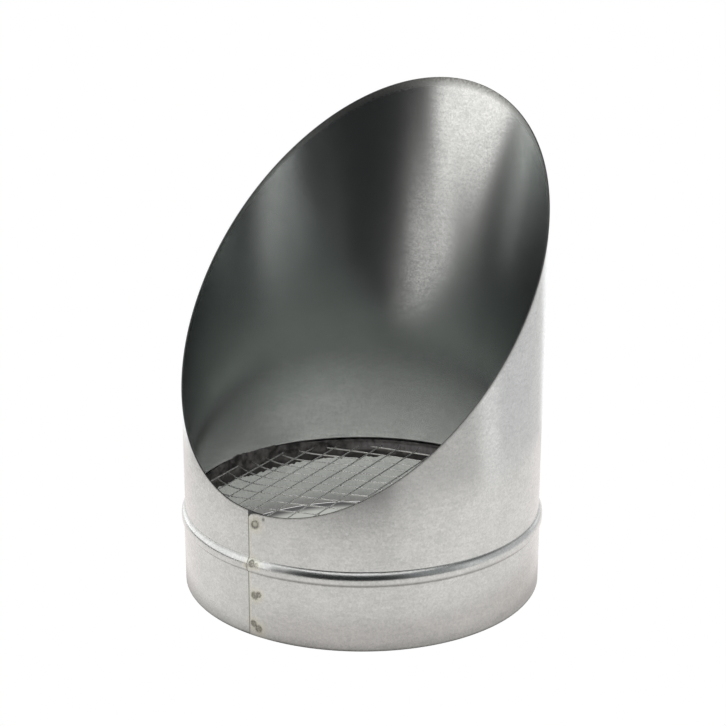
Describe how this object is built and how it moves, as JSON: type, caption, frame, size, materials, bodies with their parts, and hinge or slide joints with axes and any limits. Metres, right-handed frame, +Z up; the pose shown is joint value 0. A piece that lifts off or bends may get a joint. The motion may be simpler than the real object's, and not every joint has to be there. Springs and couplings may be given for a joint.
{
  "type": "cowl vent",
  "caption": "Mitre-cut duct cowl in galvanised sheet: a seam-welded tube with a slanted open mouth, a rolled stop bead over its plain collar, and a square wire mesh held in the bead's groove.",
  "frame": {"origin": "centre of the open lower end of the collar, on the tube's axis", "axes": "+Z up the tube axis, away from the duct; -Y towards the low side of the slanted mouth, where the lap seam is; +X to the right when the low side faces the viewer"},
  "size_m": [0.2018, 0.202, 0.2666],
  "materials": {
    "galvanised_sheet": "hot-dip galvanised, fine spangle, satin with faint stains by the spot welds",
    "galvanised_wire": "dull galvanised wire",
    "dark_sealant": "matt, roughly smeared"
  },
  "bodies": {
    "root": {"cowl_shell": "galvanised_sheet", "mesh_sealant": "dark_sealant", "mesh_long_wire_01": "galvanised_wire", "mesh_long_wire_02": "galvanised_wire", "mesh_long_wire_03": "galvanised_wire", "mesh_long_wire_04": "galvanised_wire", "mesh_long_wire_05": "galvanised_wire", "mesh_long_wire_06": "galvanised_wire", "mesh_long_wire_07": "galvanised_wire", "mesh_long_wire_08": "galvanised_wire", "mesh_long_wire_09": "galvanised_wire", "mesh_long_wire_10": "galvanised_wire", "mesh_long_wire_11": "galvanised_wire", "mesh_long_wire_12": "galvanised_wire", "mesh_long_wire_13": "galvanised_wire", "mesh_long_wire_14": "galvanised_wire", "mesh_long_wire_15": "galvanised_wire", "mesh_long_wire_16": "galvanised_wire", "mesh_long_wire_17": "galvanised_wire", "mesh_cross_wire_01": "galvanised_wire", "mesh_cross_wire_02": "galvanised_wire", "mesh_cross_wire_03": "galvanised_wire", "mesh_cross_wire_04": "galvanised_wire", "mesh_cross_wire_05": "galvanised_wire", "mesh_cross_wire_06": "galvanised_wire", "mesh_cross_wire_07": "galvanised_wire", "mesh_cross_wire_08": "galvanised_wire", "mesh_cross_wire_09": "galvanised_wire", "mesh_cross_wire_10": "galvanised_wire", "mesh_cross_wire_11": "galvanised_wire", "mesh_cross_wire_12": "galvanised_wire", "mesh_cross_wire_13": "galvanised_wire", "mesh_cross_wire_14": "galvanised_wire", "mesh_cross_wire_15": "galvanised_wire", "mesh_cross_wire_16": "galvanised_wire", "mesh_cross_wire_17": "galvanised_wire", "mesh_cross_wire_18": "galvanised_wire"}
  },
  "joints": []
}
